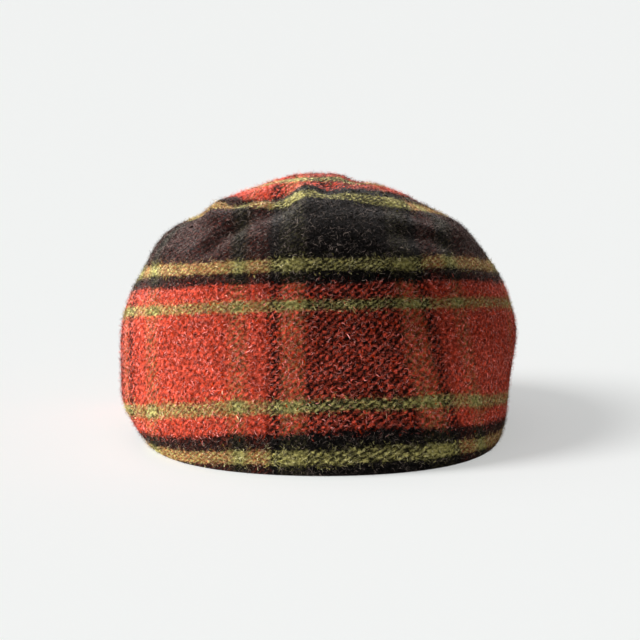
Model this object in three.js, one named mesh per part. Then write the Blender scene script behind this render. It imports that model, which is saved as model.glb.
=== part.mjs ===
// Flat cap in fulled wool cloth: one soft hollow crown sewn down onto a stiff curved peak.
// Units are millimetres. +Z is up, +Y points forward over the peak and +X is the wearer's right.
// The sizes below are measured from the middle of the hem. The finished group is then moved so that
// its origin lies on the table, under the middle of the cap's box.

import * as THREE from "three";

// Driving dimensions of the crown
const HEM_HALF_WIDTH = 88; // outside of the hem, ear to ear
const HEM_HALF_LENGTH = 98.5; // outside of the hem, nape to forehead: 58 cm round the head inside
const CLOTH = 2.4; // fulled wool with its nap pressed flat
const FULLNESS = 0.02; // how far a turn of cloth swells past an ellipse between back and side
const TOP = new THREE.Vector3(-1, -12, 129); // the highest place of the crown

// Driving dimensions of the peak
const PEAK_REACH = 52; // forehead edge to front edge, on the middle line
const PEAK_COVERED = 28; // how much of that reach lies under the crown
const PEAK_THICKNESS = 3.4; // stiffener between two layers of cloth, at the front
const PEAK_END_THICKNESS = 2; // where its ends run out between the crown and the table
const PEAK_LIFT = 0.3; // the peak's ends hang this far above the table
const ROOT_RISE = 16; // the forehead edge arches up by this much over the peak's ends
const EDGE_RISE = 4.5; // and the front edge by this much
const PEAK_CAMBER = 2; // swell between those two edges, on the middle line
const SEAM_GAP = 0.3; // between the crown's front edge and the peak that it is sewn to

// Facets
const AROUND = 72; // round the crown
const WALL_RINGS = 9; // from the hem to the shoulder, where the wall is plain
const ROOF_RINGS = 17; // from the shoulder to the top, where the folds are
const UP = WALL_RINGS + ROOF_RINGS;
const SHOULDER = 0.48; // the shoulder's share of the way from the hem to the top
const PEAK_STEPS = 12; // of the crown's facets, from the middle line to each end of the peak
const PEAK_ROWS = 6; // from the forehead edge to the front edge
const STEP_ANGLE = (2 * Math.PI) / AROUND;
const PEAK_END = PEAK_STEPS * STEP_ANGLE; // angle from the front to each end of the peak
const HEM_DROP = 2 * STEP_ANGLE; // past that end the hem comes down to the table over this angle

// Turns of the crown's wall above the hem, from the lowest to the highest. halfWidth is the reach to
// each side. rear, fore and widest are the Y of its back, of its front and of its widest place, and
// lean is how far the turn sags sideways. rearHeight and foreHeight are its heights there.
const TURNS = [
  { halfWidth: 95.5, rear: -104.5, fore: 126.5, widest: 0, lean: -2.5, rearHeight: 13, foreHeight: 23 },
  { halfWidth: 97, rear: -108.5, fore: 121.5, widest: 0, lean: -2.5, rearHeight: 38, foreHeight: 36 },
  { halfWidth: 96, rear: -107, fore: 108, widest: -2, lean: -2, rearHeight: 60, foreHeight: 57 },
  { halfWidth: 87.5, rear: -99.5, fore: 88, widest: -4, lean: -1.5, rearHeight: 80, foreHeight: 80 },
  { halfWidth: 73, rear: -85, fore: 61, widest: -7, lean: -1.5, rearHeight: 98.5, foreHeight: 101 },
  { halfWidth: 46, rear: -63, fore: 32, widest: -10, lean: -2, rearHeight: 115, foreHeight: 117.5 },
  { halfWidth: 19, rear: -35, fore: 9, widest: -12, lean: -2, rearHeight: 125, foreHeight: 127 },
];

// Soft folds and dents, each along a line between two places on the wall. depth is how far the cloth
// moves there, out of the crown or, below zero, into it. spread is how fast that fades to either side.
const FOLDS = [
  { name: "left valley", from: [-43, -54, 109], to: [-53, -62, 101], spread: 6.5, depth: -4 },
  { name: "left swell", from: [-78, 4, 96], to: [-77, -36, 92], spread: 8, depth: 1.6 },
  { name: "left hollow", from: [-58, 12, 110], to: [-60, -40, 101], spread: 9, depth: -2.2 },
  { name: "left lobe", from: [-53, -36, 111], to: [-50, -14, 114], spread: 7, depth: 2.6 },
  { name: "inner left valley", from: [-38, -52, 113], to: [-21, -49, 119], spread: 9, depth: -4.5 },
  { name: "crest groove", from: [-40, -24, 119], to: [-21, -31, 123], spread: 7, depth: -5 },
  { name: "middle ridge", from: [-9, -52, 118], to: [-8, -32, 125], spread: 6, depth: 2 },
  { name: "middle notch", from: [3, -36, 124], to: [2, -26, 126], spread: 5, depth: -2.2 },
  { name: "right dip", from: [24, -46, 118], to: [46, -36, 114], spread: 8, depth: -2 },
  { name: "crest nick", from: [15, -20, 126], to: [17, 8, 126], spread: 5, depth: -2 },
  { name: "right valley", from: [40, -62, 108], to: [56, -52, 104], spread: 8, depth: -3 },
  { name: "right swell", from: [58, -44, 105], to: [65, -14, 103], spread: 9, depth: 2 },
  { name: "left temple pull", from: [-72, 50, 58], to: [-50, 93, 48], spread: 9, depth: -3 },
  { name: "right temple pull", from: [74, 44, 62], to: [48, 95, 50], spread: 9, depth: -3.5 },
  { name: "front slope fold", from: [-30, 60, 94], to: [-12, 86, 80], spread: 9, depth: -2 },
  { name: "left ear crease", from: [-97, -6, 24], to: [-90, 42, 28], spread: 8, depth: -2 },
  { name: "right ear crease", from: [94, -16, 27], to: [88, 36, 25], spread: 12, depth: -4.5 },
];

const toVector = (place) => new THREE.Vector3(...place);

// A turn of cloth of reach 1, by the angle from where along is 1: a little fuller than a circle.
function turnOfCloth(angle) {
  const across = (Math.sin(angle) + FULLNESS * Math.sin(3 * angle)) / (1 - FULLNESS);
  const along = (Math.cos(angle) - FULLNESS * Math.cos(3 * angle)) / (1 - FULLNESS);
  return { across, along };
}

// The peak, by the angle from the front (positive towards +X) and the share of the way from its
// forehead edge, which is the inside of the hem, to its front edge.

// How much of the peak's arch is there at an angle: all of it at the front, none at its ends.
const archAt = (angle) => Math.cos((Math.PI / 2) * Math.min(1, Math.abs(angle) / PEAK_END)) ** 2;

const thicknessAt = (angle) => THREE.MathUtils.lerp(PEAK_END_THICKNESS, PEAK_THICKNESS, archAt(angle));

function rootAt(angle) {
  const { across, along } = turnOfCloth(angle);
  const z = PEAK_LIFT + thicknessAt(angle) + ROOT_RISE * archAt(angle);
  return new THREE.Vector3((HEM_HALF_WIDTH - CLOTH) * across, (HEM_HALF_LENGTH - CLOTH) * along, z);
}

function edgeAt(angle) {
  const end = turnOfCloth(PEAK_END);
  const endY = HEM_HALF_LENGTH * end.along;
  const tipY = HEM_HALF_LENGTH - CLOTH + PEAK_REACH;
  const { across, along } = turnOfCloth(((Math.PI / 2) * angle) / PEAK_END);
  const z = PEAK_LIFT + thicknessAt(angle) + EDGE_RISE * archAt(angle);
  return new THREE.Vector3(HEM_HALF_WIDTH * end.across * across, endY + (tipY - endY) * along, z);
}

function peakTopAt(angle, share) {
  const place = rootAt(angle).lerp(edgeAt(angle), share);
  place.z += PEAK_CAMBER * archAt(angle) * 4 * share * (1 - share);
  return place;
}

// A place on the line where the crown is sewn to the peak, set back from the crown's face by inset.
function seamAt(angle, inset) {
  const reach = rootAt(angle).setZ(0).distanceTo(edgeAt(angle).setZ(0));
  const covered = CLOTH + (PEAK_COVERED - CLOTH) * archAt(angle);
  const place = peakTopAt(angle, (covered - inset) / reach);
  place.z += SEAM_GAP;
  return place;
}

// The crown, by the angle round from the back (positive towards +X).

// The lower edge of the wall: on the peak at the front, and flat on the table elsewhere.
function hemAt(angle, inset) {
  const fromFront = Math.PI - Math.abs(angle);
  if (fromFront <= PEAK_END + 1e-6) return seamAt(Math.sign(angle || 1) * fromFront, inset);
  const { across, along } = turnOfCloth(angle);
  const down = THREE.MathUtils.smoothstep(fromFront, PEAK_END, PEAK_END + HEM_DROP);
  const z = (PEAK_LIFT + PEAK_END_THICKNESS + SEAM_GAP) * (1 - down);
  return new THREE.Vector3((HEM_HALF_WIDTH - inset) * across, -(HEM_HALF_LENGTH - inset) * along, z);
}

function turnAt(turn, angle) {
  const { across, along } = turnOfCloth(angle);
  const reach = along > 0 ? turn.widest - turn.rear : turn.fore - turn.widest;
  const z = THREE.MathUtils.lerp(turn.rearHeight, turn.foreHeight, (1 - along) / 2);
  return new THREE.Vector3(turn.halfWidth * across + turn.lean, turn.widest - reach * along, z);
}

// The wall's line at one angle from the hem up to the top, and on past it, so that the top is smooth.
function wallLine(angle) {
  const beyond = [...TURNS].reverse().map((turn) => turnAt(turn, angle + Math.PI));
  const places = [hemAt(angle, 0), ...TURNS.map((turn) => turnAt(turn, angle)), TOP, ...beyond];
  const line = new THREE.CatmullRomCurve3(places, false, "centripetal");
  const topShare = (TURNS.length + 1) / (places.length - 1);
  return (share) => line.getPoint(share * topShare);
}

// A ring's share of the way from the hem to the top.
function ringShare(i) {
  if (i < WALL_RINGS) return (SHOULDER * i) / WALL_RINGS;
  return SHOULDER + ((1 - SHOULDER) * (i - WALL_RINGS)) / ROOF_RINGS;
}

// Every place of the wall, ring by ring from the hem up, and the top as the last one.
function smoothWall() {
  const rings = Array.from({ length: UP }, () => []);
  for (let j = 0; j < AROUND; j++) {
    const wall = wallLine((j - AROUND / 2) * STEP_ANGLE);
    rings.forEach((ring, i) => ring.push(wall(ringShare(i))));
  }
  return [...rings.flat(), TOP.clone()];
}

// Corners of the triangles over such a wall, facing out.
function wallTriangles() {
  const at = (i, j) => i * AROUND + (j % AROUND);
  const corners = [];
  for (let j = 0; j < AROUND; j++) {
    for (let i = 0; i < UP - 1; i++) {
      corners.push(at(i, j), at(i, j + 1), at(i + 1, j + 1));
      corners.push(at(i, j), at(i + 1, j + 1), at(i + 1, j));
    }
    corners.push(at(UP - 1, j), at(UP - 1, j + 1), UP * AROUND);
  }
  return corners;
}

function geometryOf(places, corners) {
  const geometry = new THREE.BufferGeometry().setFromPoints(places);
  geometry.setIndex(corners);
  geometry.computeVertexNormals();
  return geometry;
}

// The places moved along the wall's normals by what move says for each of them.
function movedAlongNormals(places, move) {
  const normals = geometryOf(places, wallTriangles()).getAttribute("normal");
  return places.map((place, k) => {
    const normal = new THREE.Vector3().fromBufferAttribute(normals, k);
    return place.clone().addScaledVector(normal, move(place));
  });
}

// How far the folds move the cloth at a place.
function foldDepth(place) {
  const nearest = new THREE.Vector3();
  return FOLDS.reduce((sum, fold) => {
    new THREE.Line3(toVector(fold.from), toVector(fold.to)).closestPointToPoint(place, true, nearest);
    const away = nearest.distanceTo(place) / fold.spread;
    return sum + fold.depth * Math.exp(-away * away);
  }, 0);
}

// The hem ring of a wall put back where the cap rests, whatever the folds did to it.
function withHem(places, inset) {
  const hem = Array.from({ length: AROUND }, (_, j) => hemAt((j - AROUND / 2) * STEP_ANGLE, inset));
  return [...hem, ...places.slice(AROUND)];
}

function crownGeometry() {
  const face = withHem(movedAlongNormals(smoothWall(), foldDepth), 0);
  const lining = withHem(movedAlongNormals(face, () => -CLOTH), CLOTH);
  const outside = wallTriangles();
  const inside = wallTriangles().reverse().map((corner) => corner + face.length);
  const underHem = [];
  for (let j = 0; j < AROUND; j++) {
    const next = (j + 1) % AROUND;
    underHem.push(j, face.length + next, next, j, face.length + j, face.length + next);
  }
  return geometryOf([...face, ...lining], [...outside, ...inside, ...underHem]);
}

function peakGeometry() {
  const columns = 2 * PEAK_STEPS;
  const rowLength = PEAK_ROWS + 1;
  const places = [];
  for (const layers of [0, 1]) {
    for (let i = 0; i <= columns; i++) {
      const angle = (i - PEAK_STEPS) * STEP_ANGLE;
      for (let k = 0; k <= PEAK_ROWS; k++) {
        const place = peakTopAt(angle, k / PEAK_ROWS);
        place.z -= layers * thicknessAt(angle);
        places.push(place);
      }
    }
  }
  const top = (i, k) => i * rowLength + k;
  const under = (i, k) => (columns + 1) * rowLength + top(i, k);
  const corners = [];
  const quad = (a, b, c, d) => corners.push(a, b, c, a, c, d);
  for (let i = 0; i < columns; i++) {
    for (let k = 0; k < PEAK_ROWS; k++) {
      quad(top(i, k), top(i + 1, k), top(i + 1, k + 1), top(i, k + 1));
      quad(under(i, k), under(i, k + 1), under(i + 1, k + 1), under(i + 1, k));
    }
    quad(top(i, 0), under(i, 0), under(i + 1, 0), top(i + 1, 0));
    quad(top(i, PEAK_ROWS), top(i + 1, PEAK_ROWS), under(i + 1, PEAK_ROWS), under(i, PEAK_ROWS));
  }
  for (let k = 0; k < PEAK_ROWS; k++) {
    quad(top(0, k), top(0, k + 1), under(0, k + 1), under(0, k));
    quad(top(columns, k), under(columns, k), under(columns, k + 1), top(columns, k + 1));
  }
  return geometryOf(places, corners);
}

function clothMesh(name, geometry, colour) {
  const material = new THREE.MeshStandardMaterial({ color: colour, roughness: 0.95, metalness: 0 });
  const mesh = new THREE.Mesh(geometry, material);
  mesh.name = name;
  return mesh;
}

const cap = new THREE.Group();
cap.add(clothMesh("crown", crownGeometry(), 0xa8402f));
cap.add(clothMesh("peak", peakGeometry(), 0x8f3a2c));

// The origin goes to the table, under the middle of the cap's box.
const box = new THREE.Box3().setFromObject(cap);
const middle = box.getCenter(new THREE.Vector3());
cap.children.forEach((piece) => piece.position.set(-middle.x, -middle.y, -box.min.z));

export default cap;
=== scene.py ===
"""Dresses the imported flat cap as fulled, brushed wool plaid, seen from behind on a pale studio floor.

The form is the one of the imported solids: a hollow crown of cloth with slack folds, sewn down onto a
stiff curved peak. The sizes are in millimetres from the middle of the hem, and the meshes in metres.
"""

import logging
import math
from dataclasses import dataclass, field
from enum import Enum

import bmesh
import bpy
import numpy as np
from bmesh.types import BMesh, BMLayerItem, BMVert
from bpy.types import Collection, Material, Mesh, Node, NodeSocket, NodeTree, Object, Scene
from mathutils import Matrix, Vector, noise


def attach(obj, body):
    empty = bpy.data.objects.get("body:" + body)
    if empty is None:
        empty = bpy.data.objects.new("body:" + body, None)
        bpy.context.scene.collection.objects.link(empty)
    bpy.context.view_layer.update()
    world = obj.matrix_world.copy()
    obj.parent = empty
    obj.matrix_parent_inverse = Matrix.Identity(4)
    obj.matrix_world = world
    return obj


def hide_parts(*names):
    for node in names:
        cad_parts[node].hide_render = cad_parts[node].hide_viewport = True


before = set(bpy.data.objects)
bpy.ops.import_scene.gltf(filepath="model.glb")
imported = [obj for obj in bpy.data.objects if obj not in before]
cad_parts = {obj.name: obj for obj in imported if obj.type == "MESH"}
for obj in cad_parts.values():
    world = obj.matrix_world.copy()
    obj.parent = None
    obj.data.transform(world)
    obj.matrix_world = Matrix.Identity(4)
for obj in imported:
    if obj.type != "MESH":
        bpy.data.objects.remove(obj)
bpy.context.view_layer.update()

LOG = logging.getLogger("flat_cap")
MM = 0.001
SHIFT = np.array([2.38, -19.75, 0.0])  # from the hem's middle to under the middle of the cap's box
DISPLAY_GAMMA = 2.2  # the stripes are mixed in display values
CLOTH_MAP = "Cloth"  # the UV map with the place on the flat cloth, in millimetres
BAKE_MAP = "OFBake"  # and the one that keeps each face inside the unit square
Pair = tuple[float, float]
Place = tuple[float, float, float]
Array = np.ndarray


class Yarn(Enum):
    """The dyed yarns of the plaid, as sRGB hex values."""

    RED = "C24935"
    OLIVE = "9E965A"
    BLACK = "110F0E"


class LitGroup(Enum):
    """The pieces that a light is kept to, as collections."""

    CAP = "cap_pieces"
    FLOOR = "floor_pieces"

    def collection(self) -> Collection:
        """Returns the group's collection, which is made when it is first asked for."""
        return bpy.data.collections.get(self.value) or bpy.data.collections.new(self.value)


def linear(hex_colour: str) -> tuple[float, float, float, float]:
    """Turns an sRGB hex colour into linear values.

    Args:
        hex_colour: six hex digits.

    Returns:
        Red, green, blue and an alpha of 1.
    """
    parts = [int(hex_colour[i : i + 2], 16) / 255 for i in (0, 2, 4)]
    curve = [p / 12.92 if p <= 0.04045 else ((p + 0.055) / 1.055) ** 2.4 for p in parts]
    return (curve[0], curve[1], curve[2], 1.0)


def add_node(tree: NodeTree, kind: str, inputs: dict | None = None, **settings: str) -> Node:
    """Adds one node with its settings and what goes into it.

    Args:
        tree: the node tree that gets it.
        kind: the node's type name, without ShaderNode before it.
        inputs: for each input's name or number, a value, the socket that it is linked from, or the node
            whose first output it is linked from.
        settings: the node's own properties.

    Returns:
        The new node.
    """
    node = tree.nodes.new(f"ShaderNode{kind}")
    for name, value in settings.items():
        setattr(node, name, value)
    for key, value in (inputs or {}).items():
        source = value.outputs[0] if isinstance(value, Node) else value
        if isinstance(source, NodeSocket):
            tree.links.new(source, node.inputs[key])
        else:
            node.inputs[key].default_value = source
    return node


def smoothstep(low: float, high: float, value: Array) -> Array:
    """Returns how far each value is on a smooth way from low, 0, to high, 1."""
    share = np.clip((value - low) / (high - low), 0.0, 1.0)
    return share * share * (3.0 - 2.0 * share)


def unit(vectors: Array) -> Array:
    """Returns the vectors, along the last axis, at length 1."""
    return vectors / np.maximum(np.linalg.norm(vectors, axis=-1, keepdims=True), 1e-12)


def way_along(places: Array) -> Array:
    """Returns how far each place of a line lies from its start, along the line before the last axis."""
    steps = np.linalg.norm(np.diff(places, axis=-2), axis=-1)
    return np.concatenate([np.zeros_like(steps[..., :1]), np.cumsum(steps, axis=-1)], axis=-1)


def mesh_object(name: str, mesh: Mesh) -> Object:
    """Puts a mesh into the scene.

    Args:
        name: of the object.
        mesh: that it shows.

    Returns:
        The object, at the origin.
    """
    thing = bpy.data.objects.new(name, mesh)
    bpy.context.scene.collection.objects.link(thing)
    return thing


def modelled_object(name: str, bm: BMesh) -> Object:
    """Puts a bmesh into the scene and frees it.

    Args:
        name: of the object and its mesh.
        bm: the bmesh.

    Returns:
        The object, at the origin.
    """
    mesh = bpy.data.meshes.new(name)
    bm.to_mesh(mesh)
    bm.free()
    return mesh_object(name, mesh)


def soften(piece: Object) -> None:
    """Shades a piece smooth and rounds it by one subdivision.

    Args:
        piece: whose modifiers so far come first.
    """
    piece.data.shade_smooth()
    soft = piece.modifiers.new("soft", "SUBSURF")
    soft.levels = 1
    soft.render_levels = 1


@dataclass(frozen=True)
class Turn:
    """One turn of the crown's wall: how far it reaches and how high it lies."""

    half_width: float
    rear: float
    fore: float
    widest: float
    lean: float
    rear_height: float
    fore_height: float

    def at(self, across: Array, along: Array) -> Array:
        """Finds places on this turn.

        Args:
            across: sideways share of each place, positive towards +X.
            along: backward share of each place, positive towards the back.

        Returns:
            One row of x, y and z for each place.
        """
        reach = np.where(along > 0, self.widest - self.rear, self.fore - self.widest)
        rise = (1 - along) / 2
        z = self.rear_height + (self.fore_height - self.rear_height) * rise
        return np.stack([self.half_width * across + self.lean, self.widest - reach * along, z], -1)


@dataclass(frozen=True)
class Fold:
    """A soft fold or dent along a line on the wall. Its depth is out of the crown, or below 0 into it."""

    name: str
    start: Place
    end: Place
    spread: float
    depth: float

    def push(self, places: Array) -> Array:
        """Works out how far the fold moves the cloth.

        Args:
            places: on the wall, a row of x, y and z for each.

        Returns:
            The way outwards at each place.
        """
        start = np.array(self.start)
        line = np.array(self.end) - start
        share = np.clip((places - start) @ line / (line @ line), 0.0, 1.0)
        away = np.linalg.norm(places - start - share[..., None] * line, axis=-1) / self.spread
        return self.depth * np.exp(-away * away)


# From the hem up: half_width, rear, fore, widest, lean, rear_height, fore_height
TURNS = (
    Turn(95.5, -104.5, 126.5, 0, -2.5, 13, 23),
    Turn(97, -108.5, 121.5, 0, -2.5, 38, 36),
    Turn(96, -107, 108, -2, -2, 60, 57),
    Turn(87.5, -99.5, 88, -4, -1.5, 80, 80),
    Turn(73, -85, 61, -7, -1.5, 98.5, 101),
    Turn(46, -63, 32, -10, -2, 115, 117.5),
    Turn(19, -35, 9, -12, -2, 125, 127),
)
WIDEST_TURN = TURNS[1]

# name, start, end, spread, depth
FOLDS = (
    Fold("left valley", (-43, -54, 109), (-53, -62, 101), 6.5, -4),
    Fold("left swell", (-78, 4, 96), (-77, -36, 92), 8, 1.6),
    Fold("left hollow", (-58, 12, 110), (-60, -40, 101), 9, -2.2),
    Fold("left lobe", (-53, -36, 111), (-50, -14, 114), 7, 2.6),
    Fold("inner left valley", (-38, -52, 113), (-21, -49, 119), 9, -4.5),
    Fold("crest groove", (-40, -24, 119), (-21, -31, 123), 7, -5),
    Fold("middle ridge", (-9, -52, 118), (-8, -32, 125), 6, 2),
    Fold("middle notch", (3, -36, 124), (2, -26, 126), 5, -2.2),
    Fold("right dip", (24, -46, 118), (46, -36, 114), 8, -2),
    Fold("crest nick", (15, -20, 126), (17, 8, 126), 5, -2),
    Fold("right valley", (40, -62, 108), (56, -52, 104), 8, -3),
    Fold("right swell", (58, -44, 105), (65, -14, 103), 9, 2),
    Fold("left temple pull", (-72, 50, 58), (-50, 93, 48), 9, -3),
    Fold("right temple pull", (74, 44, 62), (48, 95, 50), 9, -3.5),
    Fold("front slope fold", (-30, 60, 94), (-12, 86, 80), 9, -2),
    Fold("left ear crease", (-97, -6, 24), (-90, 42, 28), 8, -2),
    Fold("right ear crease", (94, -16, 27), (88, 36, 25), 12, -4.5),
)


@dataclass(frozen=True)
class CapForm:
    """The sewn form of the cap, as in the part's source."""

    hem_half_width: float = 88.0
    hem_half_length: float = 98.5
    cloth: float = 2.4
    fullness: float = 0.02
    top: Place = (-1.0, -12.0, 129.0)
    peak_reach: float = 52.0
    peak_covered: float = 28.0
    peak_thickness: float = 3.4
    peak_end_thickness: float = 2.0
    peak_lift: float = 0.3
    root_rise: float = 16.0
    edge_rise: float = 4.5
    peak_camber: float = 2.0
    seam_gap: float = 0.3
    peak_end: float = math.radians(60)
    hem_drop: float = math.radians(10)

    def turn_of_cloth(self, angle: Array) -> tuple[Array, Array]:
        """Follows a turn of cloth, which is a little fuller than a circle.

        Args:
            angle: of each place.

        Returns:
            The across and the along share of each place.
        """
        spare = 1 - self.fullness
        across = (np.sin(angle) + self.fullness * np.sin(3 * angle)) / spare
        along = (np.cos(angle) - self.fullness * np.cos(3 * angle)) / spare
        return across, along

    def arch(self, angle: Array) -> Array:
        """Returns how much of the peak's arch is there: all of it at the front, none at its ends."""
        return np.cos(math.pi / 2 * np.minimum(1.0, np.abs(angle) / self.peak_end)) ** 2

    def thickness(self, angle: Array) -> Array:
        """Returns the peak's thickness at each angle from the front."""
        return self.peak_end_thickness + (self.peak_thickness - self.peak_end_thickness) * self.arch(angle)

    def root(self, angle: Array) -> Array:
        """Follows the peak's forehead edge.

        Args:
            angle: of each place, from the front.

        Returns:
            One row of x, y and z for each place.
        """
        across, along = self.turn_of_cloth(angle)
        z = self.peak_lift + self.thickness(angle) + self.root_rise * self.arch(angle)
        width = self.hem_half_width - self.cloth
        return np.stack([width * across, (self.hem_half_length - self.cloth) * along, z], -1)

    def edge(self, angle: Array) -> Array:
        """Follows the peak's front edge.

        Args:
            angle: of each place, from the front.

        Returns:
            One row of x, y and z for each place.
        """
        end_across, end_along = self.turn_of_cloth(np.array(self.peak_end))
        end_y = self.hem_half_length * end_along
        tip_y = self.hem_half_length - self.cloth + self.peak_reach
        across, along = self.turn_of_cloth(math.pi / 2 * angle / self.peak_end)
        z = self.peak_lift + self.thickness(angle) + self.edge_rise * self.arch(angle)
        return np.stack([self.hem_half_width * end_across * across, end_y + (tip_y - end_y) * along, z], -1)

    def peak_top(self, angle: Array, share: Array) -> Array:
        """Finds places on the peak's upper face.

        Args:
            angle: of each place, from the front.
            share: of the way from the forehead edge to the front edge.

        Returns:
            One row of x, y and z for each place.
        """
        place = self.root(angle) * (1 - share)[..., None] + self.edge(angle) * share[..., None]
        place[..., 2] += self.peak_camber * self.arch(angle) * 4 * share * (1 - share)
        return place

    def hem(self, angle: Array) -> Array:
        """Follows the crown's lower edge, which lies on the peak or on the table.

        Args:
            angle: of each place, from the back.

        Returns:
            One row of x, y and z for each place.
        """
        from_front = math.pi - np.abs(angle)
        across, along = self.turn_of_cloth(angle)
        down = smoothstep(self.peak_end, self.peak_end + self.hem_drop, from_front)
        z = (self.peak_lift + self.peak_end_thickness + self.seam_gap) * (1 - down)
        flat = np.stack([self.hem_half_width * across, -self.hem_half_length * along, z], -1)
        on_peak = np.where(angle < 0, -1.0, 1.0) * np.minimum(from_front, self.peak_end)
        reach = np.linalg.norm((self.edge(on_peak) - self.root(on_peak))[..., :2], axis=-1)
        covered = self.cloth + (self.peak_covered - self.cloth) * self.arch(on_peak)
        sewn = self.peak_top(on_peak, covered / reach)
        sewn[..., 2] += self.seam_gap
        return np.where((from_front <= self.peak_end + 1e-6)[..., None], sewn, flat)

    def wall(self, angles: Array, shares: Array) -> Array:
        """Finds places on the smooth wall, before its folds, on centripetal curves through the turns.

        Args:
            angles: round the crown, from the back.
            shares: of the way from the hem, 0, to the top, 1.

        Returns:
            For each share, a row of places with one for each angle.
        """
        turns = [turn.at(*self.turn_of_cloth(angles)) for turn in TURNS]
        beyond = [turn.at(*self.turn_of_cloth(angles + math.pi)) for turn in reversed(TURNS)]
        top = np.broadcast_to(np.array(self.top), turns[0].shape)
        line = [self.hem(angles), *turns, top, *beyond]
        rings = []
        for share in shares:
            step = min(int(share * (len(TURNS) + 1)), len(TURNS))
            way = share * (len(TURNS) + 1) - step
            p1, p2, p3 = line[step : step + 3]
            p0 = line[step - 1] if step else 2 * p1 - p2
            gaps = (p1 - p0, p2 - p1, p3 - p2)
            d0, d1, d2 = (np.sqrt(np.linalg.norm(gap, axis=-1, keepdims=True)) for gap in gaps)
            leave = ((p1 - p0) / d0 - (p2 - p0) / (d0 + d1) + (p2 - p1) / d1) * d1
            reach = ((p2 - p1) / d1 - (p3 - p1) / (d1 + d2) + (p3 - p2) / d2) * d1
            square = 3 * (p2 - p1) - 2 * leave - reach
            cube = 2 * (p1 - p2) + leave + reach
            rings.append(p1 + leave * way + square * way**2 + cube * way**3)
        return np.array(rings)


@dataclass(frozen=True)
class Sett:
    """The stripes along one way of the cloth, in millimetres.

    The widths are those of half the pattern, from the middle of the wide red stripe to the middle of the
    wide black one.
    """

    widths: tuple[float, ...]
    middle: float  # where the middle of a wide red stripe lies
    fade: float  # over what width a stripe turns into the next
    yarns: tuple[Yarn, ...] = (Yarn.RED, Yarn.OLIVE, Yarn.RED, Yarn.BLACK, Yarn.OLIVE, Yarn.BLACK)

    def edges(self) -> Array:
        """Works out where the stripes' edges lie on the flat cloth.

        Returns:
            The edges from the wide black stripe before the red one up to the next wide red one.
        """
        reach = np.cumsum(self.widths)
        near = reach[:-1]
        following = self.middle + 2 * reach[-1]
        return np.concatenate([self.middle - near[::-1], self.middle + near, following - near[::-1]])

    def colour(self, tree: NodeTree, place: NodeSocket) -> Node:
        """Adds the nodes of the stripes.

        Args:
            tree: the material's node tree.
            place: the socket with the place on the cloth.

        Returns:
            The node that gives the stripe's colour, in display values.
        """
        half = sum(self.widths)
        from_middle = add_node(tree, "Math", {0: place, 1: self.middle}, operation="SUBTRACT")
        folded = add_node(tree, "Math", {0: from_middle, 1: half}, operation="PINGPONG")
        share = add_node(tree, "Math", {0: folded, 1: half}, operation="DIVIDE")
        ramp = add_node(tree, "ValToRGB", {0: share})
        first, last = ramp.color_ramp.elements
        first.position = 0.0
        first.color = linear(self.yarns[0].value)
        last.position = 1.0
        last.color = linear(self.yarns[-1].value)
        at = 0.0
        for width, yarn, following in zip(self.widths, self.yarns, self.yarns[1:]):
            at += width
            for side, shown in ((-0.5, yarn), (0.5, following)):
                stop = ramp.color_ramp.elements.new((at + side * self.fade) / half)
                stop.color = linear(shown.value)
        return add_node(tree, "Gamma", {0: ramp, 1: 1 / DISPLAY_GAMMA})


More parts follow.
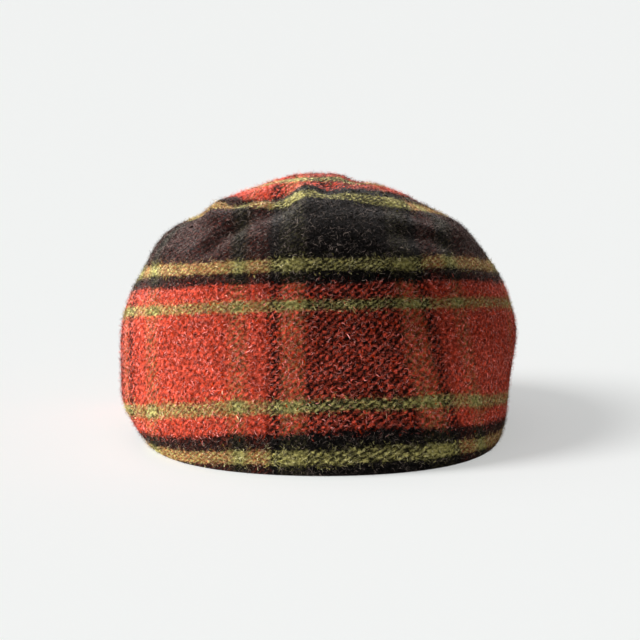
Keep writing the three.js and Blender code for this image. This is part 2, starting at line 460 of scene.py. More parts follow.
@dataclass(frozen=True)
class WoolPlaid:
    """Fulled, brushed wool in a plaid twill: matt and soft, with a hairy nap that blurs each stripe."""

    weft: Sett = Sett((20.25, 6.3, 8.5, 7.2, 8.0, 21.9), middle=0.0, fade=1.6)
    warp: Sett = Sett((22.0, 6.8, 10.0, 8.0, 7.8, 21.2), middle=-62.3, fade=5.0)  # softer, under the weft
    fuzz: float = 2.0  # the nap carries colour up to about this far over an edge, in millimetres
    mingle: float = 5.8  # and single strands lie over the next stripe by up to half of this
    waver: float = 1.6  # and fulling draws the stripes out of line by about a third of this
    pull_size: float = 22.0  # millimetres from one slow pull of the stripes to the next
    blur_size: float = 1.4  # and from one lick of nap over an edge to the next
    tuft_size: float = 1.8  # and from one tuft to the next
    twill: float = 2.3  # and from one twill line to the next
    floats: float = 3.3  # and along a line, from one float of yarn to the next
    # Display values of the yarns that tell them apart, of the first and of the second that is named
    black_olive_green: Pair = (0.09, 0.58)
    black_red_red: Pair = (0.11, 0.72)
    red_olive_green: Pair = (0.32, 0.58)
    black_red_excess: Pair = (0.05, 0.45)  # of red over green
    cover: Pair = (0.87, 0.78)  # how much of the warp black and olive weft hide
    olive_hidden: float = 0.09  # how much more they hide of olive warp
    black_warp: float = 0.90  # black yarns between red weft shade it
    spread: Pair = (0.45, 0.6)  # how much the cover of each changes by the strand
    dark_spread: float = 0.45  # and how much more over black warp
    tuft_share: float = 0.65  # how far a strand's chance is that of its tuft
    tuft_noise: Pair = (0.41, 0.59)  # noise values between tufts and on them
    clump_noise: Pair = (0.38, 0.62)
    knot_noise: Pair = (0.42, 0.66)
    wide_noise: Pair = (0.3, 0.7)
    strand_light: Pair = (0.45, 1.95)  # of the colour, at a strand's root and its tip; the darker root is painted shade deep in the nap
    cloth_light: Pair = (0.1875, 1.3125)  # and on the cloth, darker as painted shade under the strands and in the twill's valleys
    clump_gap: Pair = (0.2, 0.5)  # of the light between tufts, painted shade, over black and red warp
    clump_top: Pair = (1.95, 1.55)  # and on them, painted light
    worn: Pair = (0.9, 1.1)  # of the light, slowly changing over the cloth
    vivid: Pair = (1.15, 0.7)  # a shaded strand is deeper in colour than a lit one
    vivid_light: Pair = (0.15, 0.9)
    # the pale tint of the fine hairs, a painted highlight of translucent hair
    hair_highlight: str = "DCC4B6"
    pale_hairs: float = 0.17  # how far the fine hairs are from the dyed colour to a pale tint, a painted highlight
    pale_knots: float = 2.2  # and how many times that on the tops of tufts
    pale_on_weft: Pair = (2.2, 0.8)  # and on black and on olive weft
    roughness: float = 0.92
    roughness_change: float = 0.06
    ior: float = 1.54  # of wool
    specular: float = 0.03  # the nap swallows nearly all gloss
    sheen: float = 0.03
    sheen_roughness: float = 0.45
    sheen_tint: str = "F2D9CC"
    bump_strength: float = 0.6
    bump_height: float = 0.9  # millimetres

    def material(self, name: str, strands: bool) -> Material:
        """Makes the cloth's material, or that of the strands that stand on it.

        Args:
            name: of the material.
            strands: whether it is for the strands of the nap.

        Returns:
            The material.
        """
        material = bpy.data.materials.new(name)
        material.use_nodes = True
        material.node_tree.nodes.clear()
        WoolNodes(self, material.node_tree, strands).finish()
        return material


@dataclass
class WoolNodes:
    """The nodes of one wool material: that of the cloth, or that of the strands that stand on it."""

    plaid: WoolPlaid
    tree: NodeTree
    strands: bool

    def __post_init__(self) -> None:
        """Adds what the other nodes read: the stripes, the tufts and which yarn is on top."""
        plaid, tree = self.plaid, self.tree
        cloth = add_node(tree, "UVMap", uv_map=CLOTH_MAP)
        pulls = {"Vector": cloth, "Scale": 1 / plaid.pull_size, "Detail": 2.0}
        licks = {"Vector": cloth, "Scale": 1 / plaid.blur_size, "Detail": 3.0}
        grain = {"Vector": cloth, "Scale": 1 / plaid.tuft_size, "Detail": 4.0, "Roughness": 0.62}
        noises = [add_node(tree, "TexNoise", inputs) for inputs in (pulls, licks, grain)]
        self.drift, blur, self.tufts = noises
        moved = cloth
        for source, reach in ((self.drift, plaid.waver), (blur, plaid.fuzz)):
            centred = {0: source.outputs["Color"], 1: (0.5, 0.5, 0.5)}
            way = add_node(tree, "VectorMath", centred, operation="SUBTRACT")
            inputs = {0: way, 1: (2 * reach, 2 * reach, 0.0), 2: moved}
            moved = add_node(tree, "VectorMath", inputs, operation="MULTIPLY_ADD")
        if self.strands:
            own = add_node(tree, "Attribute", attribute_name="yarn").outputs["Fac"]
            swing = add_node(tree, "Math", {0: own, 1: 0.5}, operation="SUBTRACT")
            inputs = {0: add_node(tree, "CombineXYZ", {1: swing}), 1: (0.0, plaid.mingle, 0.0), 2: moved}
            moved = add_node(tree, "VectorMath", inputs, operation="MULTIPLY_ADD")
        ways = add_node(tree, "SeparateXYZ", {0: moved}).outputs
        if self.strands:
            self.stand(own)
        else:
            self.weave(ways[0], ways[1])
        self.warp = plaid.warp.colour(tree, ways[0])
        self.weft = plaid.weft.colour(tree, ways[1])
        self.warp_parts = add_node(tree, "SeparateColor", {0: self.warp}).outputs
        self.weft_parts = add_node(tree, "SeparateColor", {0: self.weft}).outputs
        self.from_black = {0: self.weft_parts[1], **self.span(plaid.black_olive_green)}
        self.to_red = {0: self.warp_parts[0], **self.span(plaid.black_red_red)}

    def span(self, limits: Pair, first: int = 1) -> dict[int, float]:
        """Returns two limits of a range as its inputs, which by default are what it reads from."""
        return {first: limits[0], first + 1: limits[1]}

    def stand(self, own: NodeSocket) -> None:
        """Reads how a strand stands in its tuft.

        Args:
            own: the strand's own chance.
        """
        tuft = add_node(self.tree, "MapRange", {0: self.tufts, **self.span(self.plaid.tuft_noise)})
        chances = {0: self.plaid.tuft_share, 2: own, 3: tuft}
        self.chance = add_node(self.tree, "Mix", chances, data_type="FLOAT")
        # the strand's light: a random tone, with painted shade towards its root
        self.light = add_node(self.tree, "Attribute", attribute_name="light").outputs["Fac"]

    def weave(self, warp: NodeSocket, weft: NodeSocket) -> None:
        """Adds the twill's ridges, which climb to the right, and the floats of yarn along them, with painted
        shade in the valleys between the ridges.

        Args:
            warp: the warp place on the cloth.
            weft: the weft place.
        """
        plaid, tree = self.plaid, self.tree
        heights = []
        for slant, length in (("SUBTRACT", plaid.twill), ("ADD", plaid.floats)):
            across = add_node(tree, "Math", {0: warp, 1: weft}, operation=slant)
            turn = 2 * math.pi / length / math.sqrt(2)
            angle = add_node(tree, "Math", {0: across, 1: turn}, operation="MULTIPLY")
            sine = add_node(tree, "Math", {0: angle}, operation="SINE")
            heights.append(add_node(tree, "Math", {0: sine, 1: 0.5, 2: 0.5}, operation="MULTIPLY_ADD"))
        over = add_node(tree, "MapRange", {0: heights[1], 3: 0.5})
        self.chance = add_node(tree, "Math", {0: heights[0], 1: over}, operation="MULTIPLY")
        # the cloth's light: ridges lighter and valleys darker as painted shade, with an uneven tone from the
        # tufts
        uneven = add_node(tree, "MapRange", {0: self.tufts, **self.span(plaid.wide_noise), 4: 0.5})
        self.light = add_node(tree, "Math", {0: self.chance, 1: 0.5, 2: uneven}, operation="MULTIPLY_ADD")

    def woven(self) -> Node:
        """Lets the warp show between the weft.

        Returns:
            The cloth's colour.
        """
        plaid, tree = self.plaid, self.tree
        olive = {0: self.warp_parts[1], **self.span(plaid.red_olive_green), 4: plaid.olive_hidden}
        hidden = add_node(tree, "MapRange", olive)
        by_weft = {**self.from_black, **self.span(plaid.cover, 3)}
        cover = add_node(tree, "Math", {0: add_node(tree, "MapRange", by_weft), 1: hidden}, operation="ADD")
        redness = add_node(tree, "Math", {0: self.weft_parts[0], 1: self.weft_parts[1]}, operation="SUBTRACT")
        spread = redness
        by_weft = {**self.from_black, **self.span(plaid.spread, 3)}
        by_warp = {**self.to_red, 3: plaid.dark_spread, 4: 0.0}
        for inputs in (by_weft, by_warp):
            more = add_node(tree, "MapRange", inputs)
            spread = add_node(tree, "Math", {0: spread, 1: more}, operation="ADD")
        swing = add_node(tree, "Math", {0: self.chance, 1: 0.5}, operation="SUBTRACT")
        share = add_node(tree, "Math", {0: swing, 1: spread, 2: cover}, operation="MULTIPLY_ADD")
        mixed = add_node(tree, "Mix", {0: share, 6: self.warp, 7: self.weft}, data_type="RGBA")
        red_weft = {0: redness, **self.span(plaid.black_red_excess), 3: 1.0, 4: plaid.black_warp}
        shade = add_node(tree, "MapRange", {**self.to_red, 3: add_node(tree, "MapRange", red_weft), 4: 1.0})
        shaded = add_node(tree, "VectorMath", {0: mixed.outputs[2], 3: shade}, operation="SCALE")
        return add_node(tree, "Gamma", {0: shaded, 1: DISPLAY_GAMMA})

    def lit(self, colour: Node) -> Node:
        """Paints shade into the colour: darker strand roots, cloth under the strands and gaps between tufts,
        lighter tufts.

        Args:
            colour: the cloth's colour.

        Returns:
            The colour with its painted light and shade.
        """
        plaid, tree = self.plaid, self.tree
        limits = plaid.strand_light if self.strands else plaid.cloth_light
        bright = add_node(tree, "MapRange", {0: self.light, **self.span(limits, 3)})
        # painted shade between the tufts and painted light on them
        clump = {0: self.tufts, **self.span(plaid.clump_noise)}
        for key, limits in ((3, plaid.clump_gap), (4, plaid.clump_top)):
            clump[key] = add_node(tree, "MapRange", {**self.to_red, **self.span(limits, 3)})
        worn = {0: self.drift, **self.span(plaid.wide_noise), **self.span(plaid.worn, 3)}
        for inputs in (clump, worn):
            factor = add_node(tree, "MapRange", inputs)
            bright = add_node(tree, "Math", {0: bright, 1: factor}, operation="MULTIPLY")
        return add_node(tree, "VectorMath", {0: colour, 3: bright}, operation="SCALE")

    def haired(self, colour: Node) -> NodeSocket:
        """Makes shaded strands deeper in colour and paints a pale highlight on some fine hairs.

        Args:
            colour: the strands' colour.

        Returns:
            The changed colour.
        """
        plaid, tree = self.plaid, self.tree
        vivid = {0: self.light, **self.span(plaid.vivid_light), **self.span(plaid.vivid, 3)}
        inputs = {"Saturation": add_node(tree, "MapRange", vivid), "Color": colour}
        dyed = add_node(tree, "HueSaturation", inputs)
        showing = add_node(tree, "MapRange", {**self.from_black, **self.span(plaid.pale_on_weft, 3)})
        knots = {0: self.tufts, **self.span(plaid.knot_noise), 4: plaid.pale_knots}
        # how much painted pale highlight each fine hair gets, more on tufts and on black weft
        pale = add_node(tree, "Attribute", attribute_name="pale").outputs["Fac"]
        for factor in (showing, add_node(tree, "MapRange", knots), plaid.pale_hairs):
            pale = add_node(tree, "Math", {0: pale, 1: factor}, operation="MULTIPLY")
        colours = {0: pale, 6: dyed, 7: linear(plaid.hair_highlight)}
        return add_node(tree, "Mix", colours, data_type="RGBA").outputs[2]

    def finish(self) -> None:
        """Adds the shader, with the weave's relief where no strand covers it."""
        plaid, tree = self.plaid, self.tree
        colour = self.lit(self.woven())
        least, most = plaid.roughness - plaid.roughness_change, plaid.roughness + plaid.roughness_change
        rough = {0: self.tufts, **self.span(plaid.wide_noise), 3: least, 4: most}
        looks = {
            "Base Color": self.haired(colour) if self.strands else colour,
            "Roughness": add_node(tree, "MapRange", rough),
            "IOR": plaid.ior,
            "Specular IOR Level": plaid.specular,
            "Sheen Weight": plaid.sheen,
            "Sheen Roughness": plaid.sheen_roughness,
            "Sheen Tint": linear(plaid.sheen_tint),
        }
        if not self.strands:
            heights = {0: self.chance, 1: 0.5, 2: self.tufts}
            hill = add_node(tree, "Math", heights, operation="MULTIPLY_ADD")
            relief = {"Strength": plaid.bump_strength, "Distance": plaid.bump_height * MM, "Height": hill}
            looks["Normal"] = add_node(tree, "Bump", relief)
        add_node(tree, "OutputMaterial", {0: add_node(tree, "BsdfPrincipled", looks)})


@dataclass
class ClothLay:
    """How the flat plaid cloth lies on the crown, as places on the cloth in millimetres.

    From behind, each weft stripe lies in a plane that leans like the view, so it looks level. Over the
    top and the front the stripes cross from ear to ear. A side seam from each end of the peak up to
    the roof parts the two.
    """

    form: CapForm
    plaid: WoolPlaid
    middle_x: float = -2.0
    lean_low: float = 0.10  # how far a stripe's plane drops for each millimetre forward, at the hem
    lean_high: float = 0.18  # and from the ears up
    lean_heights: Pair = (5, 40)
    skew_low: float = 0.030  # how far a stripe climbs for each millimetre to the right, at the hem
    skew_high: float = 0.023
    skew_heights: Pair = (5, 50)
    crest_sag_left: float = 0.0016  # how a stripe near the crest drops to each side, with the outline
    crest_sag_right: float = 0.0023
    crest_heights: Pair = (88, 112)
    right_lean: float = 0.27  # how far a warp stripe on the right leans in for each millimetre up
    lean_from: float = 58.0  # the height where it is in its place
    lean_girths: Pair = (0, 60)  # where the lean begins, and where all of it is there
    side_turn: float = math.radians(72)  # from here on the warp is counted around the wall
    seam: float = math.radians(120)
    seam_blend: float = math.radians(45)
    roof_shares: Pair = (0.78, 0.88)  # of the wall, where the seams end on the roof
    # Where the edges between stripes come to lie on the cap, because the cloth is eased over the wall:
    # how far up the middle of the back from the hem, and how far round to the right of its middle.
    weft_laid: tuple[float, ...] = (
        *(7, 15, 25, 34.5, 40),
        *(81, 85.5, 94, 101.5, 107.5),
        *(153, 160.5, 168, 178, 185),
    )
    warp_laid: tuple[float, ...] = (
        *(-130.5, -119.5, -108, -93, -84.5),
        *(-40.5, -33.5, -23.5, -15.5, -7.5),
        *(43, 53, 61, 72, 79),
    )
    past_edges: float = 300.0  # beyond its edges the cloth isn't eased, as far as this
    climb_samples: int = 301
    girth_samples: int = 361

    def __post_init__(self) -> None:
        """Measures the cloth's middle line and its widest turn."""
        shares = np.linspace(0, 1, self.climb_samples)
        line = self.form.wall(np.array([0.0, math.pi]), shares)
        self.middle = np.concatenate([line[:, 0], line[-2::-1, 1]])
        self.climb = way_along(self.middle)
        self.level = np.maximum.accumulate(self.plane_height(self.middle))
        angles = np.linspace(-math.pi / 2, math.pi / 2, self.girth_samples)
        self.girth_line = WIDEST_TURN.at(*self.form.turn_of_cloth(angles))
        girth = way_along(self.girth_line)
        self.girth = girth - girth[len(girth) // 2]

    def plane_height(self, places: Array) -> Array:
        """Finds the leaning plane that each place lies in.

        Args:
            places: on the wall.

        Returns:
            The planes' heights.
        """
        x, y, z = np.moveaxis(places, -1, 0)
        side = x - self.middle_x
        lean = self.lean_low + (self.lean_high - self.lean_low) * smoothstep(*self.lean_heights, z)
        skew = self.skew_low + (self.skew_high - self.skew_low) * smoothstep(*self.skew_heights, z)
        height = z + lean * y - skew * side
        sag = np.where(side < 0, self.crest_sag_left, self.crest_sag_right)
        return height + sag * smoothstep(*self.crest_heights, height) * side * side

    def flat(self, laid: Array, laid_edges: tuple[float, ...], flat_edges: Array) -> Array:
        """Finds places on the flat cloth.

        Args:
            laid: the places on the cap, along one way of the cloth.
            laid_edges: where the stripes' edges lie on the cap.
            flat_edges: and on the flat cloth.

        Returns:
            The places on the flat cloth, in millimetres.
        """
        past = self.past_edges
        on_cap = [laid_edges[0] - past, *laid_edges, laid_edges[-1] + past]
        on_cloth = [flat_edges[0] - past, *flat_edges, flat_edges[-1] + past]
        return np.interp(laid, on_cap, on_cloth)

    def on_grid(self, places: Array, angles: Array, shares: Array, front: bool) -> Array:
        """Finds places on the cloth for the wall's grid.

        Args:
            places: of the smooth wall, ring by ring.
            angles: of its columns, from the back.
            shares: of its rings, from the hem to the top.
            front: whether the cloth in front of the side seams is meant, or that behind them.

        Returns:
            Warp and weft place in millimetres, for each place of the grid.
        """
        x, y, z = np.moveaxis(places, -1, 0)
        across = np.interp(x, self.girth_line[:, 0], self.girth)
        around = way_along(places)
        girth_side = across.copy()
        for sign in (-1, 1):
            side = np.argmin(np.abs(angles - sign * self.side_turn))
            past = sign * angles > self.side_turn
            girth_side[:, past] = across[:, [side]] + around[:, past] - around[:, [side]]
        climb_back = np.interp(self.plane_height(places), self.level, self.climb)
        forward = np.maximum.accumulate(self.middle[:, 1])
        climb_top = np.interp(y, forward, self.climb)
        over = smoothstep(self.seam - self.seam_blend, self.seam + self.seam_blend, np.abs(angles))[None, :]
        joined = smoothstep(*self.roof_shares, shares)[:, None]
        weight = 1 - (1 - over) * joined if front else over * joined
        climb = climb_back + (climb_top - climb_back) * weight
        girth = girth_side + (across - girth_side) * weight
        lean = self.right_lean * (z - self.lean_from) * smoothstep(*self.lean_girths, girth) * (1 - weight)
        warp = self.flat(girth + lean, self.warp_laid, self.plaid.warp.edges())
        weft = self.flat(climb, self.weft_laid, self.plaid.weft.edges())
        return np.stack([warp, weft], -1)


@dataclass
class Patch:
    """Triangles of cloth that the nap can stand on: places, normals and places on the cloth."""

    corners: Array
    normals: Array
    cloth: Array

    @classmethod
    def of(cls, bm: BMesh) -> "Patch":
        """Reads the triangles of a mesh.

        Args:
            bm: the mesh, with the cloth's map.

        Returns:
            The patch.
        """
        layer = bm.loops.layers.uv[CLOTH_MAP]
        triangles = bm.calc_loop_triangles()
        corners = np.array([[loop.vert.co[:] for loop in three] for three in triangles])
        normals = np.array([[loop.vert.normal[:] for loop in three] for three in triangles])
        cloth = np.array([[loop[layer].uv[:] for loop in three] for three in triangles])
        return cls(corners, normals, cloth)

    def areas(self) -> Array:
        """Returns the area of each triangle."""
        a, b, c = np.moveaxis(self.corners, 1, 0)
        return np.linalg.norm(np.cross(b - a, c - a), axis=-1) / 2

    def part(self, keep: Array) -> "Patch":
        """Returns the triangles that keep marks."""
        return Patch(self.corners[keep], self.normals[keep], self.cloth[keep])


@dataclass
class Nap:
    """Wool strands brushed up from the cloth, in millimetres.

    Each is drawn as thick as a lock of several hairs, because single hairs are too fine to show.
    """

    name: str
    patch: Patch
    plaid: WoolPlaid
    finish: Material
    seed: int
    most: int = 38500
    per_mm2: float = 1.75
    tries_each: int = 3
    least_growth: float = 0.2  # the share of strands that grow between the twill's ridges
    length: Pair = (1.5, 3.2)
    lift: Pair = (0.05, 0.5)  # the angle at which a strand leaves the cloth
    fall: Pair = (0.5, 1.0)  # and by how much it bends down again
    width: float = 0.36
    stray_share: float = 0.42  # fine hairs that stand up from the rest
    stray_length: Pair = (1.8, 3.8)
    stray_lift: Pair = (0.3, 1.05)
    stray_fall: Pair = (0.2, 0.9)
    stray_width: float = 0.13
    width_change: Pair = (0.6, 1.3)
    curl: float = 3.0  # the usual turn along a strand
    roll: float = 0.5  # and about its own line
    root_depth: float = 0.15  # below the cloth
    floor_gap: float = 0.15  # that no strand goes below
    taper: tuple[float, ...] = (0.8, 1.0, 0.75, 0.0)  # of the width, at each point
    light: tuple[float, ...] = (0.0, 0.5, 0.85, 1.0)  # at each point, darker towards the root as painted shade
    light_shares: Pair = (0.7, 0.3)  # a strand's own light, which differs at random, and that of its points, which is painted shade

    def build(self) -> Object:
        """Makes the strands as one mesh of tapered ribbons.

        Returns:
            The nap's object.
        """
        rng = np.random.default_rng(self.seed)
        areas = self.patch.areas()
        count = min(self.most, int(areas.sum() / MM**2 * self.per_mm2))
        tries = self.tries_each * count
        face = rng.choice(len(areas), size=tries, p=areas / areas.sum())
        first = rng.random(tries)
        second = rng.random(tries)
        outside = first + second > 1
        first[outside] = 1 - first[outside]
        second[outside] = 1 - second[outside]
        weights = np.stack([1 - first - second, first, second], -1)[..., None]
        cloth = (self.patch.cloth[face] * weights).sum(1)
        slant = 2 * math.pi / math.sqrt(2)  # the twill's ridges and the floats cross the cloth at 45 degrees
        rib = 0.5 + 0.5 * np.sin((cloth[:, 0] - cloth[:, 1]) * slant / self.plaid.twill)
        over = 0.75 + 0.25 * np.sin((cloth[:, 0] + cloth[:, 1]) * slant / self.plaid.floats)
        growth = self.least_growth + (1 - self.least_growth) * rib * over
        kept = np.flatnonzero(rng.random(tries) < growth)[:count]
        face, weights, cloth = face[kept], weights[kept], cloth[kept]
        root = (self.patch.corners[face] * weights).sum(1)
        normal = unit((self.patch.normals[face] * weights).sum(1))
        points, sides = self.spines(rng, root, normal)
        return self.ribbons(rng, points, sides, cloth)

    def strays(self, count: int) -> Array:
        """Returns which of so many strands are fine hairs."""
        return np.arange(count) < self.stray_share * count

    def spines(self, rng: np.random.Generator, root: Array, normal: Array) -> tuple[Array, Array]:
        """Grows the middle line of each strand.

        Args:
            rng: the source of chance.
            root: where each strand stands on the cloth.
            normal: of the cloth there.

        Returns:
            Four points of each strand, and the way across it at each point.
        """
        count = len(root)
        helper = np.where(np.abs(normal[:, [2]]) < 0.9, [[0.0, 0.0, 1.0]], [[1.0, 0.0, 0.0]])
        one = unit(np.cross(helper, normal))
        two = np.cross(normal, one)
        heading = rng.uniform(0, 2 * math.pi, count)
        turn = rng.normal(0, self.curl, count)
        ranges = (
            (self.stray_length, self.length),
            (self.stray_lift, self.lift),
            (self.stray_fall, self.fall),
        )
        length, start_lift, fall = (
            np.where(self.strays(count), rng.uniform(*fine, count), rng.uniform(*thick, count))
            for fine, thick in ranges
        )
        roll = rng.normal(0, self.roll, count)
        segments = len(self.taper) - 1
        points = [root - self.root_depth * MM * normal]
        sides = []
        for step in range(segments):
            angle = heading + turn * step / 2
            lift = start_lift - fall * step / 2
            flat = np.cos(angle)[:, None] * one + np.sin(angle)[:, None] * two
            way = np.cos(lift)[:, None] * flat + np.sin(lift)[:, None] * normal
            across = unit(np.cross(way, normal))
            up = np.cross(across, way)
            sides.append(np.cos(roll)[:, None] * across + np.sin(roll)[:, None] * up)
            points.append(points[-1] + way * (length * MM / segments)[:, None])
        sides.append(sides[-1])
        return np.stack(points, 1), np.stack(sides, 1)

    def ribbons(self, rng: np.random.Generator, points: Array, sides: Array, cloth: Array) -> Object:
        """Gives the strands their width and makes their mesh: two quads and a triangle at the tip.

        Args:
            rng: the source of chance.
            points: four of each strand.
            sides: the way across it at each point.
            cloth: the place on the cloth that each strand grows from.

        Returns:
            The nap's object.
        """
        count = len(points)
        width = np.where(self.strays(count), self.stray_width, self.width)
        half = (width / 2 * MM * rng.uniform(*self.width_change, count))[:, None]
        corners = []
        for step, share in enumerate(self.taper):
            for sign in (1, -1) if share else (0,):
                corners.append(points[:, step] + sign * sides[:, step] * half * share)
        corners = np.stack(corners, 1)
        corners[..., 2] = np.maximum(corners[..., 2], self.floor_gap * MM)
        each = corners.shape[1]
        faces = np.array([0, 1, 3, 2, 2, 3, 5, 4, 4, 5, 6])
        starts = np.array([0, 4, 8])
        base = np.arange(count)[:, None]
        loops = (base * each + faces).ravel()
        mesh = bpy.data.meshes.new(self.name)
        mesh.vertices.add(count * each)
        mesh.vertices.foreach_set("co", corners.astype(np.float32).ravel())
        mesh.loops.add(len(loops))
        mesh.loops.foreach_set("vertex_index", loops.astype(np.int32))
        mesh.polygons.add(count * len(starts))
        mesh.polygons.foreach_set("loop_start", (base * len(faces) + starts).ravel().astype(np.int32))
        mesh.update(calc_edges=True)
        mesh.validate()
        offsets = (corners - points[:, :1])[..., [0, 2]] / MM
        self.mark(rng, mesh, loops, offsets, cloth)
        mesh.materials.append(self.finish)
        return mesh_object(self.name, mesh)

    def mark(
        self,
        rng: np.random.Generator,
        mesh: Mesh,
        loops: Array,
        offsets: Array,
        cloth: Array,
    ) -> None:
        """Writes where each strand grows on the cloth, its own place for baking and its chance values.

        Args:
            rng: the source of chance.
            mesh: the nap's.
            loops: the corner that each face corner uses.
            offsets: where each strand's corners lie from its root, laid flat.
            cloth: the place on the cloth that each strand grows from.
        """
        count, each = offsets.shape[:2]
        spread = np.repeat(cloth, each, axis=0)
        own = spread + offsets.reshape(-1, 2)
        low, high = own.min(0), own.max(0)
        own = (own - low) / (high - low).max()
        for name, places in ((CLOTH_MAP, spread), (BAKE_MAP, own)):
            mesh.uv_layers.new(name=name).data.foreach_set("uv", places[loops].astype(np.float32).ravel())
        along = np.repeat(self.light, 2)[:each]
        yarn = np.repeat(rng.random(count), each)
        chance, height = self.light_shares
        # a random tone for each strand, plus painted shade that darkens it towards its root
        light = chance * np.repeat(rng.random(count) ** 2, each) + height * np.tile(along, count)
        # which fine hairs get the painted pale highlight, and how much
        pale = np.repeat(self.strays(count) * rng.random(count), each)
        for name, values in (("yarn", yarn), ("light", light), ("pale", pale)):
            mesh.attributes.new(name, "FLOAT", "POINT").data.foreach_set("value", values.astype(np.float32))


@dataclass
class Crown:
    """The soft crown: one shell of cloth from the hem over the folds of the roof."""

    form: CapForm
    plaid: WoolPlaid
    columns: int = 144
    rings: int = 64
    waves: tuple[Pair, ...] = ((26.0, 0.9), (12.0, 0.45))  # length and height
    hem_hold: float = 0.06  # the share of the wall over which the hem keeps the cloth in place
    hem_crease: float = 0.6
    sector_y: float = -10.0  # where the nap of the front begins, in the cap's frame
    patch: Patch = field(init=False, repr=False)

    def build(self) -> Object:
        """Models the shell from a grid that is closed round the crown and at its top.

        Returns:
            The crown's object.
        """
        angles = np.linspace(-math.pi, math.pi, self.columns + 1)
        shares = np.linspace(0, 1, self.rings + 1)
        places = self.form.wall(angles, shares)
        lay = ClothLay(self.form, self.plaid)
        cloth = np.array([lay.on_grid(places, angles, shares, front) for front in (False, True)])
        low = cloth.min((0, 1, 2))
        size = (cloth.max((0, 1, 2)) - low).max()
        bm = bmesh.new()
        bmesh.ops.create_grid(bm, x_segments=self.columns, y_segments=self.rings, size=1.0)
        share_of = bm.verts.layers.float.new("share")
        map_of = bm.loops.layers.uv.new(CLOTH_MAP)
        bake_of = bm.loops.layers.uv.new(BAKE_MAP)
        bm.verts.index_update()
        each = self.columns + 1  # the grid is counted ring by ring
        for face in bm.faces:
            column = sum(vert.index % each for vert in face.verts) / 4
            front = abs(column / self.columns * 2 - 1) * math.pi > lay.seam
            for loop in face.loops:
                place = cloth[int(front)][divmod(loop.vert.index, each)]
                loop[map_of].uv = place
                loop[bake_of].uv = (place - low) / size
        for vert in bm.verts:
            ring, column = divmod(vert.index, each)
            vert[share_of] = shares[ring]
            vert.co = (places[ring, column] + SHIFT) * MM
        bmesh.ops.remove_doubles(bm, verts=bm.verts, dist=1e-6)
        self.crumple(bm, share_of)
        bm.normal_update()
        self.patch = Patch.of(bm)
        shell = modelled_object("crown_shell", bm)
        self.dress(shell)
        return shell

    def crumple(self, bm: BMesh, share_of: BMLayerItem) -> None:
        """Moves the cloth by its folds and its small unevenness, and leaves the hem where it rests.

        Args:
            bm: the crown's mesh.
            share_of: the layer with each place's share of the way from the hem to the top.
        """
        bm.normal_update()
        places = np.array([vert.co[:] for vert in bm.verts]) / MM - SHIFT
        push = sum(fold.push(places) for fold in FOLDS)
        for vert, place, depth in zip(bm.verts, places, push):
            for size, height in self.waves:
                depth += height * noise.noise(Vector(place / size))
            free = smoothstep(0.0, self.hem_hold, np.array(vert[share_of]))
            vert.co += vert.normal * float(depth * free) * MM

    def dress(self, shell: Object) -> None:
        """Gives the cloth its thickness, its softness and its finish.

        Args:
            shell: the crown's object.
        """
        wall = shell.modifiers.new("wall", "SOLIDIFY")
        wall.thickness = self.form.cloth * MM
        wall.offset = -1.0
        wall.edge_crease_outer = self.hem_crease
        soften(shell)
        shell.data.materials.append(self.plaid.material("brushed_wool_plaid", strands=False))

    def sectors(self) -> dict[str, Patch]:
        """Parts the crown's face for the nap.

        Returns:
            Four patches of about the same area, by name.
        """
        middle = self.patch.corners.mean(1)
        right = middle[:, 0] > 0.0
        rear = middle[:, 1] < self.sector_y * MM
        return {
            "back_left": self.patch.part(~right & rear),
            "back_right": self.patch.part(right & rear),
            "front_left": self.patch.part(~right & ~rear),
            "front_right": self.patch.part(right & ~rear),
        }


@dataclass
class Peak:
    """The stiff peak: a crescent of stiffener between two layers of the same cloth."""

    form: CapForm
    plaid: WoolPlaid
    columns: int = 60
    rows: int = 12
    edge_round: float = 1.0
    sharp: float = 1.0  # the angle from which an edge is rounded
    cloth_forward: float = 30.0  # puts a wide red stripe along most of the front edge
    bake_corner: Pair = (-100.0, 20.0)
    bake_size: float = 200.0
    patch: Patch = field(init=False, repr=False)

    def build(self) -> Object:
        """Models the peak from a grid, gives it its thickness and rounds its edges.

        Returns:
            The peak's object.
        """
        bm = bmesh.new()
        bmesh.ops.create_grid(bm, x_segments=self.columns, y_segments=self.rows, size=1.0)
        thick_of = bm.verts.layers.float.new("thickness")
        for vert in bm.verts:
            angle = np.array(vert.co.x * self.form.peak_end)
            share = np.array((vert.co.y + 1) / 2)
            vert[thick_of] = float(self.form.thickness(angle)) * MM
            vert.co = (self.form.peak_top(angle, share) + SHIFT) * MM
        bmesh.ops.recalc_face_normals(bm, faces=bm.faces)
        made = bmesh.ops.extrude_face_region(bm, geom=bm.faces[:], use_keep_orig=True)
        for vert in (v for v in made["geom"] if isinstance(v, BMVert)):
            vert.co.z -= vert[thick_of]
        bmesh.ops.recalc_face_normals(bm, faces=bm.faces)
        bm.normal_update()
        sharp = [e for e in bm.edges if len(e.link_faces) == 2 and e.calc_face_angle() > self.sharp]
        bmesh.ops.bevel(
            bm, geom=sharp, offset=self.edge_round * MM, segments=2, profile=0.5, affect="EDGES", material=-1
        )
        map_of = bm.loops.layers.uv.new(CLOTH_MAP)
        bake_of = bm.loops.layers.uv.new(BAKE_MAP)
        for face in bm.faces:
            for loop in face.loops:
                place = np.array(loop.vert.co) / MM
                loop[map_of].uv = (place[0], place[1] + self.cloth_forward - place[2])
                loop[bake_of].uv = (place[:2] - self.bake_corner) / self.bake_size
        bm.normal_update()
        self.patch = Patch.of(bm)
        cover = modelled_object("peak_cover", bm)
        self.dress(cover)
        return cover

    def dress(self, cover: Object) -> None:
        """Gives the peak its softness and its finish."""
        soften(cover)
        cover.data.materials.append(self.plaid.material("brushed_wool_plaid_peak", strands=False))


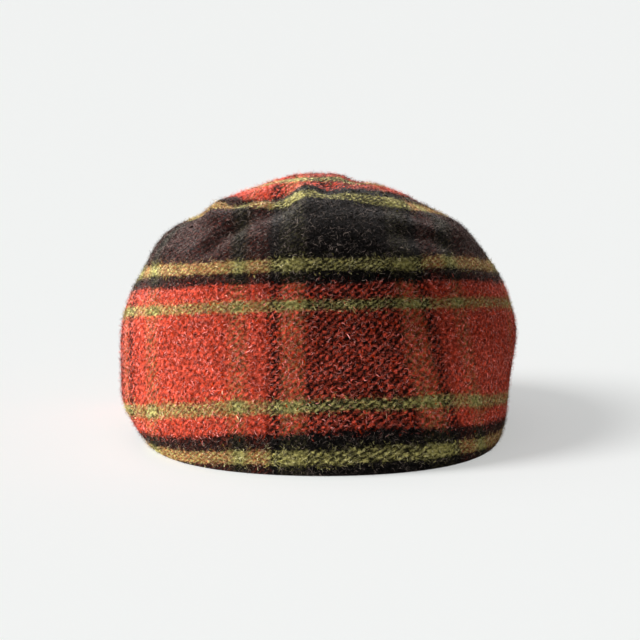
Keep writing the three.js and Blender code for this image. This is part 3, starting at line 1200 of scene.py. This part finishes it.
@dataclass(frozen=True)
class SoftLight:
    """A large soft studio light, so far off that it falls evenly."""

    name: str
    place: Place  # which way it hangs from the cap
    softness: float  # how large it looks from the cap, as an angle
    strength: float
    falls_on: LitGroup  # the only pieces that it lights, as if flags kept it off the rest

    def hang(self, scene: Scene) -> None:
        """Puts the light into the scene.

        Args:
            scene: that gets it.
        """
        light = bpy.data.lights.new(self.name, "SUN")
        light.energy = self.strength
        light.angle = self.softness
        lamp = bpy.data.objects.new(self.name, light)
        lamp.rotation_euler = (-Vector(self.place)).to_track_quat("-Z", "Y").to_euler()
        lamp.light_linking.receiver_collection = self.falls_on.collection()
        lamp.light_linking.blocker_collection = LitGroup.CAP.collection()
        scene.collection.objects.link(lamp)


@dataclass(frozen=True)
class Studio:
    """A pale floor, soft lights and a camera behind the cap, in metres.

    The key light is nearly level, from the left, and the rim light falls from the far side onto the crest.
    Their shadows would be long, so the floor has its own lights, a sweep from the upper left and a
    ceiling. The paper glows a little, which keeps its shadow pale.
    """

    camera_place: Place = (0.0011, -1.1828, 0.255)
    camera_aim: Place = (0.0011, 0.0, 0.0525)
    focal_pixels: float = 2381.0
    picture_pixels: float = 640.0
    sensor: float = 36.0
    floor_half: float = 25.0
    lights: tuple[SoftLight, ...] = (
        SoftLight("key", (-1.0, -0.16, 0.03), math.radians(38), 6.0, LitGroup.CAP),
        SoftLight("sweep", (-1.0, -0.55, 0.95), math.radians(25), 3.0, LitGroup.FLOOR),
        SoftLight("ceiling", (-0.6, -0.4, 1.0), math.radians(100), 1.0, LitGroup.FLOOR),
        SoftLight("overhead", (-0.6, 0.4, 1.0), math.radians(80), 0.45, LitGroup.CAP),
        SoftLight("rim", (-0.26, 1.0, 0.75), math.radians(42), 15.0, LitGroup.CAP),
    )
    room: str = "FAFCFF"
    room_seen: float = 0.9  # how bright the room looks, and how much it fills the shade
    room_fill: float = 0.06
    paper: str = "B7B8B7"
    paper_glow: str = "FDFFFE"
    glow_strength: float = 0.46

    def build(self) -> Object:
        """Sets up the camera, the lights, the room and the floor.

        Returns:
            The floor.
        """
        scene = bpy.context.scene
        scene.view_settings.view_transform = "Standard"
        data = bpy.data.cameras.new("camera")
        data.sensor_width = self.sensor
        data.lens = self.sensor * self.focal_pixels / self.picture_pixels
        camera = bpy.data.objects.new("camera", data)
        camera.location = self.camera_place
        way = Vector(self.camera_aim) - Vector(self.camera_place)
        camera.rotation_euler = way.to_track_quat("-Z", "Y").to_euler()
        scene.collection.objects.link(camera)
        scene.camera = camera
        for light in self.lights:
            light.hang(scene)
        self.surround(scene)
        return self.floor()

    def surround(self, scene: Scene) -> None:
        """Gives the room a pale look and a weak fill light.

        Args:
            scene: that gets the room.
        """
        world = bpy.data.worlds.new("room")
        scene.world = world
        world.use_nodes = True
        tree = world.node_tree
        tree.nodes.clear()
        seen = add_node(tree, "LightPath").outputs["Is Camera Ray"]
        strength = add_node(tree, "MapRange", {0: seen, 3: self.room_fill, 4: self.room_seen})
        back = add_node(tree, "Background", {"Color": linear(self.room), "Strength": strength})
        add_node(tree, "OutputWorld", {0: back})

    def floor(self) -> Object:
        """Lays the floor of matt paper, which shows soft shadows and no gloss.

        Returns:
            The floor.
        """
        bm = bmesh.new()
        bmesh.ops.create_grid(bm, x_segments=1, y_segments=1, size=self.floor_half)
        floor = modelled_object("floor", bm)
        paper = bpy.data.materials.new("matt_paper")
        paper.use_nodes = True
        paper.node_tree.nodes.clear()
        finish = {
            "Base Color": linear(self.paper),
            "Roughness": 0.8,
            "Specular IOR Level": 0.2,
            "Emission Color": linear(self.paper_glow),
            "Emission Strength": self.glow_strength,
        }
        shader = add_node(paper.node_tree, "BsdfPrincipled", finish)
        add_node(paper.node_tree, "OutputMaterial", {0: shader})
        floor.data.materials.append(paper)
        LitGroup.FLOOR.collection().objects.link(floor)
        return floor


def declare(piece: Object, slot: str, node: str | None = None) -> None:
    """Fixes a piece to the cap, puts it in the cap's light group, hides the solid that it replaces, and logs
    it with its slot.

    Args:
        piece: the finished object.
        slot: the record's material slot.
        node: the solid that the piece replaces, if any.
    """
    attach(piece, "root")
    LitGroup.CAP.collection().objects.link(piece)
    if node:
        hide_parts(node)
    LOG.info("%s: %d faces, slot %s", piece.name, len(piece.data.polygons), slot)


def main() -> None:
    """Builds the studio, the crown, the peak and the nap, in that order."""
    logging.basicConfig(level=logging.INFO, format="%(name)s %(message)s")
    Studio().build()
    form = CapForm()
    plaid = WoolPlaid()
    crown = Crown(form, plaid)
    declare(crown.build(), "crown_cloth", "crown")
    peak = Peak(form, plaid)
    declare(peak.build(), "peak_cloth", "peak")
    hairs = plaid.material("brushed_wool_strands", strands=True)
    for seed, (name, patch) in enumerate(crown.sectors().items()):
        declare(Nap(f"nap_{name}", patch, plaid, hairs, seed).build(), "crown_cloth")
    declare(Nap("nap_peak", peak.patch, plaid, hairs, seed=9, most=9000).build(), "peak_cloth")


if __name__ == "__main__":
    main()
